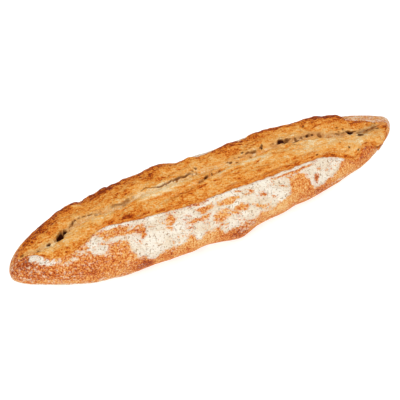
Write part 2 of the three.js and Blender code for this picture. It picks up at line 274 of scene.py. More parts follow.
# %% Torn dough, flap and distances
EDGE_BLEND = (-0.5, 1)  # degrees past the front edge in which skin turns to torn dough
CREST_BLEND = (2, 4)  # degrees past the crest in which torn dough turns back to skin
END_BLEND = 0.01  # the same at both ends of the cut, as a station
FLAP_EDGE = 5  # degrees over which the flap ends behind its crest
FLAP_CURVE = 1.4  # a higher power lifts the flap nearer its crest
edge_here, crease_here, crest_here = edge(station), crease(station), crest(station)
degree = np.radians(1) * body_radius(station, angle)  # millimetres round the loaf in one degree
open_here = opening(station)
torn = step(angle - edge_here, *EDGE_BLEND) * (1 - step(angle - crest_here, *CREST_BLEND))
torn *= step(station - CUT_ENDS[0], 0, END_BLEND) * step(CUT_ENDS[1] - station, 0, END_BLEND)
flap = np.where(
    angle > crest_here,
    1 - step(angle, crest_here, crest_here + FLAP_EDGE),
    step(angle, crease_here, crest_here) ** FLAP_CURVE)
from_crease = (angle - crease_here) * degree
from_edge = (angle - edge_here) * degree
print(f"torn dough covers {torn.mean():.0%} of the points")

# %% [markdown]
# ## The flap and its torn edge
# The flap rises from the crease to its crest and leans out over the skin behind. Its height is
# uneven along the loaf, and its edge has torn. A curve gives the height, and noise and a
# few listed tears break the edge.

# %% Flap, lip and crease
# station and height in mm
FLAP_RISE = [
    (-1, 0.5), (-0.85, 1.2), (-0.75, 2.4), (-0.68, 4.0), (-0.62, 3.8), (-0.595, 2.4), (-0.53, 1.4),
    (-0.465, 3.8), (-0.42, 2.6), (-0.38, 3.6), (-0.32, 2.0), (-0.25, 4.0), (-0.2, 4.8), (-0.15, 3.0),
    (-0.1, 2.4), (-0.06, 3.8), (-0.02, 2.6), (0.15, 4.0), (0.21, 2.4), (0.27, 4.4), (0.35, 4.0),
    (0.5, 4.0), (0.58, 5.8), (0.7, 5.8), (0.73, 4.8), (0.75, 2.0), (0.8, 0.8), (1, 0.5)]
# station, half length as a station, depth in mm
TEARS = [(-0.59, 0.016, 1.4), (-0.452, 0.012, 1.0), (0.2, 0.014, 1.2), (0.745, 0.016, 1.6)]
FLAP_LEAN = 1.8  # mm towards the back, at the crest
SKIN_LIP, SKIN_LIP_WIDTH = 1.2, 4  # mm and degrees
EDGE_GROOVE, EDGE_GROOVE_WIDTH = 1.4, 4  # mm and degrees
BAND_BULGE = 1.8  # mm
CREASE_DEPTH = [(-1, 1.5), (-0.8, 2.2), (-0.66, 3), (-0.5, 4.5), (0.3, 5), (0.6, 4), (0.8, 3), (1, 1.5)]
CREASE_WIDTH = 9  # degrees
NEAR_CALM, CALM_STATIONS = 0.7, (-0.7, -0.5)  # the crest is less ragged towards the first tip
CRISP_STATIONS = (-0.78, -0.5)  # the front edge is soft near the first tip, and sharp from there on
ragged = frayed([(-1, 0), (1, 0)], amount=0.6, spacing=7, seed=11)

flap_rise = curve(FLAP_RISE, station)
flap_rise += ragged(station) * (1 - NEAR_CALM * (1 - step(station, *CALM_STATIONS)))
for at, long, depth in TEARS:
    flap_rise -= depth * bump(station - at, long)
half_band = np.maximum(crease_here - edge_here, 1) / 2
swelling = BAND_BULGE * bump(angle - crease_here + half_band, half_band)
crisp = step(station, *CRISP_STATIONS)
lip = crisp * SKIN_LIP * bump(angle - edge_here + SKIN_LIP_WIDTH / 2, SKIN_LIP_WIDTH)
groove = crisp * EDGE_GROOVE * bump(angle - edge_here - EDGE_GROOVE_WIDTH, EDGE_GROOVE_WIDTH)
valley = bump(angle - crease_here, CREASE_WIDTH)
cut_rise = swelling + lip - groove - curve(CREASE_DEPTH, station) * valley + flap_rise * flap
lean = FLAP_LEAN * flap * open_here
print(f"the flap stands up to {flap_rise.max():.1f} mm over the dough")

# %% [markdown]
# ## Folds and furrows
# Torn dough dries in folds. Each is a line from one place to another with a height, a width and a
# browning of its own: narrow furrows are darkened with painted shade, and dough that opened last
# stays pale. The lines wander with a slow noise, so that they look pulled and not drawn.

# %% Folds
# from (station, angle), to (station, angle), rise in mm, half width in degrees, browning,
# which in the furrows is painted shade
FOLDS = [
    ((-0.43, 86), (-0.10, 93), 2.8, 10, -0.36),  # pale tongue across the cut
    ((-0.42, 103), (-0.07, 107), 0.3, 5, -0.32),
    ((-0.41, 79), (-0.17, 79.5), -1.6, 2.2, 0.24),  # furrow under the tongue
    ((-0.19, 79), (-0.09, 94), -0.6, 3.5, 0.20),
    ((-0.28, 72), (-0.15, 74), -1.8, 4.5, 0.10),
    ((-0.14, 78), (0.05, 92), -3.2, 3.5, 0.06),  # second crease
    ((-0.15, 68.5), (-0.075, 72), -2.0, 2.6, 0.50),
    ((-0.09, 71.5), (0.03, 71), -0.8, 1.3, 0.24),
    ((-0.03, 73.5), (0.14, 74), -0.8, 1.5, 0.20),
    ((-0.10, 77), (0.22, 84), 1.8, 5, -0.20),  # ridge beside the second crease
    ((0.045, 67), (0.085, 66), -0.8, 1.5, 0.45),
    ((0.165, 76), (0.215, 78), -1.6, 2.6, 0.50),
    ((0.18, 73), (0.29, 81), 1.2, 6, -0.24),
    ((0.05, 82), (0.32, 85), 0.3, 5, -0.2),
    ((0.24, 87), (0.36, 83), 0.4, 4, 0.16),
    ((-0.54, 80), (-0.40, 80.5), -1.0, 1.8, 0.24),
    ((-0.58, 73), (-0.42, 61), -0.8, 2.6, 0.20),
    ((-0.48, 68), (-0.36, 57), 0.6, 2.5, 0.18),
    ((-0.88, 52), (-0.68, 50), 0.8, 8, 0.16),
    ((-0.36, 57), (-0.28, 53), 0.6, 3.5, 0.20),
    ((-0.27, 51), (-0.06, 51), 0.6, 3, 0.03),
    ((-0.04, 52), (0.15, 49), 0.4, 3, 0.05),
    ((-0.30, 62), (-0.16, 60), 1.0, 4, -0.14),
    ((0.00, 62), (0.40, 58), 1.0, 4, -0.04),
    ((0.24, 54), (0.48, 51), -0.8, 2.4, 0.16),
    ((0.28, 45), (0.51, 44), 0.6, 2.8, 0.14),
    ((0.48, 43), (0.61, 28), 0.8, 3.6, 0.24),
    ((0.58, 29), (0.68, 16), 0.8, 3.6, 0.20),
    ((0.38, 62), (0.66, 50), 1.2, 6, -0.06),
    ((0.60, 34), (0.75, 36), 2.0, 13, -0.02),  # two lobes of the turned end
    ((0.77, 24), (0.92, 18), 2.8, 20, 0.0),
    ((0.74, 53), (0.93, 55), -2.0, 6, 0.22),
    ((0.70, 95), (0.87, 73), 0.8, 6, 0.04),
    ((0.50, 113), (0.71, 106), 0.8, 9, 0.06),
    ((0.53, 109), (0.63, 106), -0.7, 1.4, 0.22),
    ((0.24, 129), (0.42, 128), 0.4, 3, 0.18),
    ((0.21, 113), (0.27, 114), -0.5, 2, 0.22),
    ((0.04, 112), (0.18, 117), -0.8, 5, 0.12),
    ((0.07, 122), (0.16, 124), 0.4, 2.6, 0.12),
    ((-0.40, 119), (-0.21, 128), 0.8, 7.5, 0.11),
    ((-0.26, 118), (-0.15, 115), -0.7, 1.5, 0.20),
    ((-0.32, 123), (-0.24, 125), -0.6, 1.5, 0.20),
    ((-0.67, 139), (-0.59, 128), 0.7, 1.8, -0.26),
    ((-0.61, 116), (-0.52, 114), -0.8, 3.6, 0.24),
    ((-0.45, 112), (-0.39, 117), -0.8, 3, 0.24),
    ((-0.86, 112), (-0.60, 120), 1.6, 8, 0.04),
]
FOLD_WANDER = 3  # degrees
FOLD_ENDS = 0.6  # the lower this power, the further a fold keeps its full height
FOLD_FLAT = 0.3  # the share of a fold's half width that is flat
wandering = angle + FOLD_WANDER * unevenness(plain, along=30, around=18, seed=2)
fold_rise = np.zeros_like(station)
fold_bake_and_shade = np.zeros_like(station)
for (station_a, angle_a), (station_b, angle_b), rise, wide, browning_and_shade in FOLDS:
    share = (station - station_a) / (station_b - station_a)
    line = mix(angle_a, angle_b, share)
    across = 1 - step(np.abs(wandering - line), FOLD_FLAT * wide, wide)
    amount = bump(share - 0.5, 0.5) ** FOLD_ENDS * across
    fold_rise += rise * amount
    # In the furrows this browning is painted shade.
    fold_bake_and_shade += browning_and_shade * amount
print(f"folds rise {fold_rise.max():.1f} mm and sink {-fold_rise.min():.1f} mm")

# %% [markdown]
# ## The skin of the torn dough
# Puffed dough is all rounded bumps with sharp valleys between them, pulled out along the loaf. The
# absolute value of a noise has just that shape, so three sizes of it are laid over each other.

# %% Puffs
# spacing along, spacing around, height in mm
PUFFS = [(26, 9, 4.6), (10, 5, 2.2), (4, 2.6, 0.9)]
PUFF_LEVEL = 0.25  # the value of the noise that is neither up nor down
puffs = np.zeros_like(station)
for number, (along, around, height) in enumerate(PUFFS):
    puffs += height * (np.abs(unevenness(plain, along, around, seed=20 + number)) - PUFF_LEVEL)
print(f"puffs reach {puffs.min():.1f} to {puffs.max():.1f} mm")

# %% [markdown]
# ## Holes
# Where the crease tore deepest, it opened bubbles of the crumb. Each is an egg-shaped pit with a
# ragged rim, darkened with painted shade. Moving the surface inwards is enough for pits this
# shallow, and keeps the mesh closed.

# %% Holes and pits
# station, degrees off the crease, length, width and depth in mm, strength of its painted shade
HOLES = [
    (-0.758, 5.5, 8.5, 8.5, 7, 1.3), (-0.732, 6, 5.5, 3.4, 4, 1.1), (-0.821, 5, 4.6, 2.4, 2, 0.9),
    (-0.935, 8, 4.0, 2.4, 1.4, 0.6), (-0.695, 6.5, 6, 1.4, 1.0, 0.5), (-0.682, 8.5, 3.2, 1.6, 1.2, 0.8),
    (-0.069, 7.5, 3.8, 1.2, 1.0, 0.75), (0.09, 4, 4.0, 2.0, 1.4, 0.8),
    (0.262, 9, 3.6, 2.2, 1.4, 0.9), (0.271, 11.5, 2.6, 1.8, 1.0, 0.8), (0.37, 5.5, 8.5, 2.2, 1.6, 1.0),
    (0.404, 6, 4.6, 2.0, 1.4, 0.8), (0.41, -16, 4.4, 1.6, 1.0, 0.75),
    (0.432, 2, 4.0, 1.2, 1.0, 0.8), (0.452, 3, 4.0, 1.2, 1.0, 0.85),
    (0.475, 5, 3.0, 1.2, 1.0, 0.8), (0.505, 5, 4.0, 1.4, 1.0, 0.9), (0.53, 4.5, 3.4, 1.2, 1.0, 0.85),
    (0.52, 25, 2.4, 1.8, 1.0, 0.7), (0.485, -47, 3.4, 1.8, 1.2, 0.7), (0.62, -24, 2.4, 1.8, 1.0, 0.5),
    (0.653, -35, 2.8, 1.8, 1.2, 0.9), (0.695, -39, 2.4, 1.8, 1.2, 0.9), (0.668, 20, 3.0, 2.2, 1.0, 0.7),
    (0.692, 17, 2.6, 1.8, 1.0, 0.6), (0.78, 13, 3.0, 1.8, 1.0, 0.6), (0.718, 6.5, 5.6, 4.4, 3.6, 1.0),
    (0.735, 8, 2.4, 2.0, 1.4, 0.8), (0.765, -4.5, 5.4, 3.6, 2.8, 0.85), (0.748, -6, 3.0, 2.4, 2, 0.7),
]
# Many small pits pepper the crease. A seeded draw scatters them, with fainter painted shade
# in the near half.
PIT_COUNT, PIT_REACH = 70, 0.9  # how many, and the stations that they keep to
PIT_WIDTH, PIT_LENGTH, PIT_DEPTH = (1.3, 3.0), (1, 1.8), 0.7  # in mm, and as shares of the width
PIT_PLACE, PIT_SCATTER = 4, 5  # degrees off the crease
PIT_SHADE_RANGE, NEAR_FADING = (0.3, 0.9), 0.6
draw = np.random.default_rng(8)
pit_stations = draw.uniform(-PIT_REACH, PIT_REACH, PIT_COUNT)
pit_widths = draw.uniform(*PIT_WIDTH, PIT_COUNT)
for at, wide in zip(pit_stations, pit_widths):
    off = draw.normal(PIT_PLACE, PIT_SCATTER)
    painted_shade = draw.uniform(*PIT_SHADE_RANGE) * (1 if at > 0 else NEAR_FADING)
    HOLES.append((at, off, wide * draw.uniform(*PIT_LENGTH), wide, PIT_DEPTH * wide, painted_shade))

# %% Sinking the holes
RIM_FRAY = 0.3  # strength of the noise on a rim
HOLE_WALL, HOLE_SHADE = (0.45, 1.15), (0.6, 1.15)  # how far out each fades, in half sizes
rim_noise = unevenness(plain, along=2.6, around=2.6, seed=31)
hole_depth = np.zeros_like(station)
# The painted shade of holes and cracks builds up here, beside their depth.
hollow = np.zeros_like(station)
for at, off, long, wide, depth, painted_shade in HOLES:
    x_away = (station - at) * LENGTH / long
    around_away = 2 * (angle - crease_here - off) * degree / wide
    away = np.hypot(x_away, around_away) + RIM_FRAY * rim_noise
    hole_depth = np.maximum(hole_depth, depth * (1 - step(away, *HOLE_WALL)))
    hollow = np.maximum(hollow, painted_shade * (1 - step(away, *HOLE_SHADE)))
print(f"{len(HOLES)} holes, down to {hole_depth.max():.1f} mm")

# %% [markdown]
# ## Cracks
# Between the holes the crease is a row of thin cracks that open and close along their way. A crack
# could be cut into the mesh, but most of these are only a few faces wide. So they are drawn like
# the holes, as a shallow dip and a dark line of painted shade, and the noise that frays the rims
# breaks them up.

# %% Cracks along the crease
# the (station, angle) line that each follows, half its width in mm, strength of its painted shade,
# how broken it is
CRACKS = [
    ([(-0.71, 106), (-0.69, 107), (-0.65, 111.5), (-0.61, 111), (-0.57, 107.5)], 0.9, 0.8, 0.7),
    ([(-0.52, 103.5), (-0.46, 102.5), (-0.39, 103)], 2.2, 0.5, 0.1),
    ([(-0.36, 110), (-0.325, 113), (-0.30, 108), (-0.26, 105.5), (-0.20, 109), (-0.15, 110.5),
      (-0.08, 114)], 0.7, 0.8, 0.2),
    ([(-0.12, 80), (-0.07, 85), (-0.02, 89.5), (0.04, 91)], 1.4, 0.9, 0.7),
    ([(0.04, 104), (0.10, 104), (0.15, 103), (0.20, 103.5), (0.25, 104.5), (0.275, 109)], 0.8, 0.7, 0.9),
    ([(0.29, 103.5), (0.36, 107.5), (0.40, 104.5), (0.44, 101.5), (0.50, 97.5), (0.54, 95.5)],
     0.8, 0.6, 0.8),
    ([(0.62, 81.5), (0.65, 79.5), (0.68, 75), (0.70, 73), (0.74, 65), (0.76, 60)], 0.8, 0.6, 0.7),
    ([(0.63, 77), (0.70, 73)], 5, 0.3, 0.2), ([(0.745, 56), (0.80, 55), (0.895, 56)], 8, 0.36, 0.2),
]
CRACK_FADE = 0.03  # the stretch over which a crack closes at each end, as a station
CRACK_FLAT = 0.2  # the share of its half width that is fully dark
CRACK_DEPTH = 1.2  # mm at most
GAP_NOISE = (-0.3, 0.2)  # the stretch of the noise over which a gap in a crack opens
gaps = step(-rim_noise, *GAP_NOISE)
# Each crack sinks the mesh a little and adds painted shade along its line.
for line, half_width, painted_shade, broken in CRACKS:
    start, end = line[0][0], line[-1][0]
    along_it = step(station - start, 0, CRACK_FADE) * step(end - station, 0, CRACK_FADE)
    from_line = np.abs(angle - curve(line, station)) * degree
    crack = along_it * (1 - step(from_line, CRACK_FLAT * half_width, half_width))
    hole_depth = np.maximum(hole_depth, crack * min(CRACK_DEPTH, half_width))
    hollow = np.maximum(hollow, painted_shade * crack * (1 - broken * gaps))
print(f"{(hollow > 0.5).mean():.1%} of the points are dark with holes and cracks")

# %% [markdown]
# ## The smooth skin
# Outside the cut the crust is the stretched skin of the rolled dough: broad swells, shallow dimples
# and fine blisters. Under the loaf all of it fades out, because the stone pressed it flat.

# %% Swells, lumps and blisters
# station, angle, half length as a station, half width in degrees, rise in mm
SWELLS = [
    (0, -16, 0.09, 34, 2.8),  # burst at the foot of the front
    (-0.17, -16, 0.13, 34, -3.2), (-0.29, -16, 0.08, 34, -1.4), (-0.42, -16, 0.14, 34, -2.2),
    (0.17, -16, 0.12, 34, -1.6), (0.31, -16, 0.10, 34, -2.2), (0.64, -16, 0.14, 34, -2.0),
    (-0.8, -16, 0.14, 34, -1.4),
    (-0.92, -20, 0.14, 60, -3.2), (0.88, 125, 0.08, 50, -1.6),
    (-0.28, 200, 0.2, 32, 1.8), (0.36, 195, 0.18, 30, 2.0), (0.08, 172, 0.12, 26, -1.4),
]
# spacing along, spacing around, height in mm
SKIN_LUMPS, SKIN_DIMPLES, SKIN_BLISTERS = (38, 30, 1.6), (15, 12, 0.6), (3.2, 2.8, 0.22)
BASE_TO_WALL = (-0.9, -0.5)  # sines of the angles between which the skin's relief begins

skin_rise = sum(
    height * unevenness(plain, along, around, seed=40 + number)
    for number, (along, around, height) in enumerate([SKIN_LUMPS, SKIN_DIMPLES, SKIN_BLISTERS]))
for at, middle_angle, long, wide, rise in SWELLS:
    turn = (angle - middle_angle + 180) % 360 - 180  # the short way round the loaf
    skin_rise += rise * bump(station - at, long) * bump(turn, wide)
off_base = step(np.sin(np.radians(angle)), *BASE_TO_WALL)
print(f"the skin swells up to {skin_rise.max():.1f} mm")

# %% [markdown]
# ## Flour
# The loaf was dusted before it was cut, and the flour stayed on the skin as a thick, cracked coat
# with bare patches where it rubbed off. It is listed as patches and bare spots, whose outlines are
# bent by noise. The coat stands a little proud of the crust, so it is relief as well as colour.

# %% Where the flour lies
# the lower border of the coat on the front, as (station, angle)
FLOUR_LOW = [
    (-0.56, 30), (-0.52, 20), (-0.5, 9), (-0.46, 3), (-0.42, 0), (-0.36, 4), (-0.3, 4), (-0.27, 8),
    (-0.245, 15), (-0.215, 4), (-0.18, 8), (-0.11, 8), (-0.09, -1), (-0.05, 2), (0, 0), (0.08, 4),
    (0.16, 5), (0.23, 9), (0.27, 14), (0.29, 27), (0.345, 29), (0.37, 17), (0.39, 8), (0.42, 3),
    (0.48, 2), (0.53, 8), (0.56, 14), (0.6, 22), (0.66, 26)]
# station, angle, half length as a station, half width in degrees, amount
FLOUR_PATCHES = [
    (-0.902, 66, 0.022, 12, 0.9), (-0.885, 54, 0.026, 10, 0.85), (-0.868, 44, 0.03, 8, 0.8),
    (-0.84, 37, 0.045, 8, 0.8), (-0.79, 30, 0.05, 7, 0.72), (-0.715, 38, 0.04, 11, 0.5),
    (-0.64, 41, 0.055, 16, 0.95), (-0.56, 38, 0.06, 6, 0.85), (-0.54, 61, 0.11, 4.5, 0.85),
    (0.83, 0, 0.06, 12, 0.45), (0.57, -7, 0.07, 4, 0.5), (0.02, -2, 0.06, 7, 0.5),
    (-0.94, 16, 0.03, 14, 0.42), (0.33, 20, 0.04, 9, 0.34), (0.315, 30, 0.02, 3, 0.7),
    (0.35, 12, 0.012, 3, 0.6), (0.365, 26, 0.012, 3, 0.6),
]
BARE_SPOTS = [
    (-0.55, 50, 0.08, 5, 1.0), (-0.47, 44, 0.05, 4, 0.9), (-0.445, 39, 0.02, 6, 1.0),
    (-0.447, 31, 0.011, 3, 0.9), (-0.315, 36, 0.028, 5, 0.85), (-0.19, 29, 0.05, 3.5, 0.8),
    (-0.14, 38, 0.04, 4, 0.9), (-0.04, 36, 0.055, 4.5, 0.95), (-0.085, 23, 0.05, 6, 0.95),
    (0.005, 23, 0.05, 5, 0.9), (0.065, 36, 0.035, 2.5, 0.7), (0.14, 18, 0.04, 2, 0.5),
    (0.33, 20, 0.055, 15, 1.0), (0.3, 36, 0.05, 2.5, 0.6), (0.43, 19, 0.02, 4.5, 1.0),
    (0.36, 37, 0.03, 2, 0.6), (-0.3, 2, 0.05, 6, 0.5), (-0.18, 46, 0.08, 2.5, 0.7),
    (0.455, 27, 0.016, 1, 0.7),
]
# Scratches run through the flour, from (station, angle) to (station, angle).
SCRATCHES = [
    ((0.0, 27.5), (0.055, 23.5)), ((0.055, 23.5), (0.15, 12)), ((0.06, 22), (0.13, 11)),
    ((0.11, 31), (0.155, 25.5)), ((0.0, 45.5), (0.053, 40.4)), ((0.055, 43), (0.10, 35.5)),
    ((-0.42, 41), (-0.38, 36.4)), ((0.124, 17), (0.158, 9.5)), ((-0.03, 40), (0.03, 34)),
    ((0.2, 39.5), (0.34, 37.5)), ((0.30, 37), (0.45, 35.5)), ((0.16, 24), (0.20, 16)),
    ((-0.20, 41), (-0.14, 35)), ((-0.36, 33), (-0.30, 27)), ((-0.12, 15), (-0.05, 10)),
    ((0.22, 30), (0.27, 22)),
]
print(len(FLOUR_PATCHES), "patches,", len(BARE_SPOTS), "bare spots,", len(SCRATCHES), "scratches")

# %% Masks made from the lists
DRIFT_STATION, DRIFT_ANGLE = 0.012, 4  # how far the broad noise bends an outline
FRAY_STATION, FRAY_ANGLE = 0.006, 3  # and how far the narrow one frays it
SPOT_EDGE = (0.45, 1.4)  # where a spot starts to fade and where it ends, in half sizes
SCRATCH_WIDTH, SCRATCH_WANDER = 1.5, 0.8  # mm to either side, and degrees
SCRATCH_REACH, SCRATCH_ENDS = 0.55, 0.5  # half its length as a share of the line, and how blunt it is
drift = unevenness(plain, along=16, around=16, seed=51)
fray = unevenness(plain, along=8, around=3.6, seed=52)
bent_station = station + DRIFT_STATION * drift + FRAY_STATION * fray
bent_angle = angle + DRIFT_ANGLE * drift + FRAY_ANGLE * fray


def spot_mask(spots):
    """How much of the spots covers each point, from 0 to 1."""
    mask = np.zeros_like(station)
    for at, middle_angle, long, wide, amount in spots:
        away = np.hypot((bent_station - at) / long, (bent_angle - middle_angle) / wide)
        mask = np.maximum(mask, amount * (1 - step(away, *SPOT_EDGE)))
    return mask


scratched = np.zeros_like(station)
for (station_a, angle_a), (station_b, angle_b) in SCRATCHES:
    share = (station - station_a) / (station_b - station_a)
    beside = (angle + SCRATCH_WANDER * fray - mix(angle_a, angle_b, share)) * degree
    along_it = bump(share - 0.5, SCRATCH_REACH) ** SCRATCH_ENDS
    scratched = np.maximum(scratched, along_it * bump(beside, SCRATCH_WIDTH))
print(f"scratches run over {(scratched > 0.5).mean():.1%} of the points")

# %% The coat on the front
COAT_EDGE = (-6, 8)  # degrees about the lower border
COAT_START, COAT_END = (-0.53, -0.5), (0.6, 0.66)  # stations
THINNED_OFF, RUBBED_OFF, SCRATCHED_OFF = 0.3, 0.84, 0.85  # shares of the coat that are lost
thinned = step(unevenness(plain, along=12, around=9, seed=55), -0.05, 0.35)
main_coat = step(bent_angle - curve(FLOUR_LOW, bent_station), *COAT_EDGE)
main_coat *= step(bent_station, *COAT_START) * (1 - step(bent_station, *COAT_END))
main_coat *= step(crease_here - angle, 0, 1)
front = np.maximum(main_coat, spot_mask(FLOUR_PATCHES)) * (1 - RUBBED_OFF * spot_mask(BARE_SPOTS))
front *= (1 - THINNED_OFF * thinned) * (1 - SCRATCHED_OFF * scratched)
print(f"the coat on the front covers {(front > 0.5).mean():.0%} of the points")

# %% [markdown]
# ## Flour behind, below and at the tips
# The back was floured too, and then rubbed against cloth and hands, so noise is enough to break its
# coat. The base picked up flour from the stone. At the tips and along the foot only a haze is left.

# %% All the other flour
BACK_START = (9, 18)  # degrees behind the crest
BACK_TIPS = (0.82, 0.93)  # how far from the middle its coat ends
BACK_FOOT = (186, 204)  # angles at which it thins towards the stone
BACK_LOST = 0.75  # the share that is lost where it is rubbed, and at its foot
back_drift = unevenness(plain, along=34, around=22, seed=54)
rubbed = step(unevenness(plain, along=17, around=7, seed=58) + 0.3 * fray, 0.12, 0.4)
behind = (1 - BACK_LOST * rubbed) * step(back_drift + 0.3 * fray, -0.5, -0.15)
behind *= step(angle - crest_here, *BACK_START) * (1 - step(np.abs(station), *BACK_TIPS))
behind *= 1 - BACK_LOST * step(angle + 20 * drift, *BACK_FOOT)

# Each haze is an amount, times the stretch of stations or angles over which it comes in.
far_rim = curve([(0, -16), (0.55, -16), (0.7, -8), (0.85, -3), (0.92, 4), (1, 6)], station)
foot = (0.3 * step(-angle, 2, 14) + 0.5 * step(-angle, 12, 20)) * step(-station, 0.4, 0.6)
foot += 0.66 * step(far_rim - angle, 0, 9) * step(station, 0.5, 0.66)
foot += 0.2 * step(-angle, -6, 8) * step(station, -0.12, 0.02)
near_haze = 0.06 * step(-station, 0.75, 0.92) + 0.21 * step(-station, 0.3, 0.6)
far_haze = 0.12 * step(station, 0.4, 0.7)
far_tip = 0.43 * step(station, 0.6, 0.68) * step(angle - crest_here, 4, 8)
far_tip = np.maximum(far_tip, 0.5 * step(station, 0.94, 0.955))
underneath = 0.85 * step(-np.sin(np.radians(angle)), 0.42, 0.62)
coats = [front, 0.8 * behind, underneath, near_haze + far_haze, foot, far_tip]
flour = np.clip(np.maximum.reduce(coats), 0, 1) * (1 - torn)
print(f"flour covers {(flour > 0.5).mean():.0%} of the points")

# %% [markdown]
# ## Writing the shape into the mesh
# The parts of the relief are now added up. Relief fades towards the tips with the girth of the
# loaf, and the stone stops the underside, with a soft turn into the wall.

# %% Adding up the relief
CUT_HOLD = 2.2  # a higher number keeps the cut's relief nearer the tips
PALE_FOLD, PALE_CALM = 0.3, 0.7  # folds this pale lose that share of their puffs
FLAP_CALM = 0.7  # and the crest of the flap loses this share
TORN_CALM = 0.5  # the share of the skin's relief that torn dough loses
FLOUR_HEIGHT, FLOUR_LUMPS = 0.45, 0.6  # mm, and the share by which it varies
# the rim that closes the far end of the cut: height in mm, place, half length, width in degrees
RIM_RISE, RIM_STATION, RIM_LONG, RIM_WIDE = 1.6, 0.92, 0.025, 8

roundness = np.sqrt(taper(station))
hold = np.minimum(1, CUT_HOLD * roundness)
calm = (1 - PALE_CALM * np.clip(-fold_bake_and_shade / PALE_FOLD, 0, 1)) * (1 - FLAP_CALM * flap**2)
torn_rise = open_here * (torn * puffs * calm + cut_rise + fold_rise) - hole_depth
coat = FLOUR_HEIGHT * flour * (1 + FLOUR_LUMPS * fray)
relief = hold * torn_rise + roundness * off_base * (skin_rise * (1 - TORN_CALM * torn) + coat)
rim_across = step(angle - edge_here, -RIM_WIDE, 0) * (1 - step(angle - crest_here, 0, RIM_WIDE))
relief += RIM_RISE * rim_across * bump(station - RIM_STATION, RIM_LONG)
print(f"the relief runs from {relief.min():.1f} to {relief.max():.1f} mm")

# %% Settling on the stone, and the move
shaped = body_place(station, angle, relief, lean)
height = shaped[:, 2]
settled = (height + BASE_SOFTNESS) ** 2 / (4 * BASE_SOFTNESS)
sunk = np.where(height <= -BASE_SOFTNESS, 0, settled)
shaped[:, 2] = np.where(height >= BASE_SOFTNESS, height, sunk)

for vertex, point in zip(loaf_mesh.verts, (shaped * MM).tolist()):
    vertex.co = point
for face in loaf_mesh.faces:
    face.smooth = True
loaf_mesh.normal_update()
volume = loaf_mesh.calc_volume(signed=True)
if volume < 0:
    bmesh.ops.reverse_faces(loaf_mesh, faces=loaf_mesh.faces)
print(f"the loaf holds {abs(volume) * 1000:.2f} litres, and stands {shaped[:, 2].max():.1f} mm high")

# %% [markdown]
# ## What the material needs to know
# Colour follows the same features as shape: the crest of the flap burns, the crease stays pale and
# holes are darkened with painted shade. It could be painted by hand. Here it is worked out from the
# shares above and stored on the mesh as attributes, each a number at every vertex, which the
# material reads. The fine grain comes from the material itself.

# %% Tones
def soft_spots(spots):
    """Soft blobs of darker or lighter crust, added up."""
    total = np.zeros_like(station)
    for at, middle_angle, long, wide, amount in spots:
        total += amount * bump(station - at, long) * bump(angle - middle_angle, wide)
    return total


# station, angle, half length, half width, browning
TORN_TONES = [
    (-0.84, 120, 0.14, 26, 0.2), (-0.72, 138, 0.2, 16, 0.14), (-0.47, 138, 0.12, 10, 0.30),
    (-0.22, 134, 0.06, 8, 0.12), (0.18, 129, 0.1, 8, 0.08), (-0.42, 80, 0.02, 3, 0.3),
    (0.66, 120, 0.1, 10, 0.22), (0.86, 74, 0.08, 9, -0.04), (0.91, 45, 0.035, 26, 0.40),
    (-0.74, 72, 0.2, 24, -0.12), (-0.47, 70, 0.12, 12, 0.16), (-0.24, 66, 0.12, 10, 0.10),
    (0.5, 66, 0.3, 26, -0.2), (0.7, 40, 0.18, 26, -0.2), (-0.58, 96, 0.2, 12, -0.08),
    (0.64, 36, 0.1, 12, -0.04), (0.56, 112, 0.16, 14, -0.06), (-0.02, 126, 0.14, 14, -0.12),
    (-0.93, 116, 0.08, 30, 0.2), (-0.2, 51, 0.06, 7, -0.2), (0.78, 92, 0.06, 12, 0.16),
    (0.2, 52, 0.3, 10, 0.02),
    (-0.06, 102, 0.06, 14, 0.1), (0.23, 92, 0.07, 12, 0.08), (0.45, 116, 0.14, 12, -0.08),
]
# how much dull crumb shows beside the crease, by station
CRUMB = [
    (-1, 0.5), (-0.9, 0.7), (-0.6, 0.7), (-0.54, 0.4), (-0.5, 0.6), (-0.42, 0.6), (-0.39, 0.15),
    (-0.1, 0.2), (0, 0.1), (0.08, 0.4), (0.3, 0.45), (0.36, 0.7), (0.6, 0.9), (0.8, 1.0), (0.9, 0.8),
    (1, 0.3)]
SKIN_TONES = [
    (-0.95, 60, 0.14, 90, 0.34), (-0.7, 10, 0.3, 34, 0.1), (-0.02, -9, 0.11, 18, 0.34),
    (-0.22, 0, 0.2, 26, -0.18), (-0.05, 32, 0.2, 20, -0.14), (0.74, 14, 0.1, 22, 0.26),
    (0.2, 2, 0.16, 20, -0.34), (0.45, -6, 0.09, 16, 0.28), (-0.47, -7, 0.08, 18, 0.4),
    (0.33, 20, 0.08, 20, -0.12), (0.6, 4, 0.14, 20, -0.12), (0.43, 16, 0.04, 12, 0.25),
    (0.96, 60, 0.1, 70, 0.08), (-0.96, 120, 0.06, 50, 0.16),
]
print(len(TORN_TONES), "tones on the torn dough and", len(SKIN_TONES), "on the skin")

# %% Browning with its painted shade, and crumb
TORN_BASE, SKIN_BASE = 0.4, 0.48  # browning before anything is added
CRUMB_PLACE, CRUMB_WIDTH = 6, 10  # degrees past the crease
tone = unevenness(plain, along=20, around=9, seed=61)
mottle = unevenness(plain, along=7, around=5, seed=62)
past_tip = step(station, -0.99, -0.8)
by_edge = 1 - step(angle, edge_here, mix(edge_here, crease_here, 0.7))
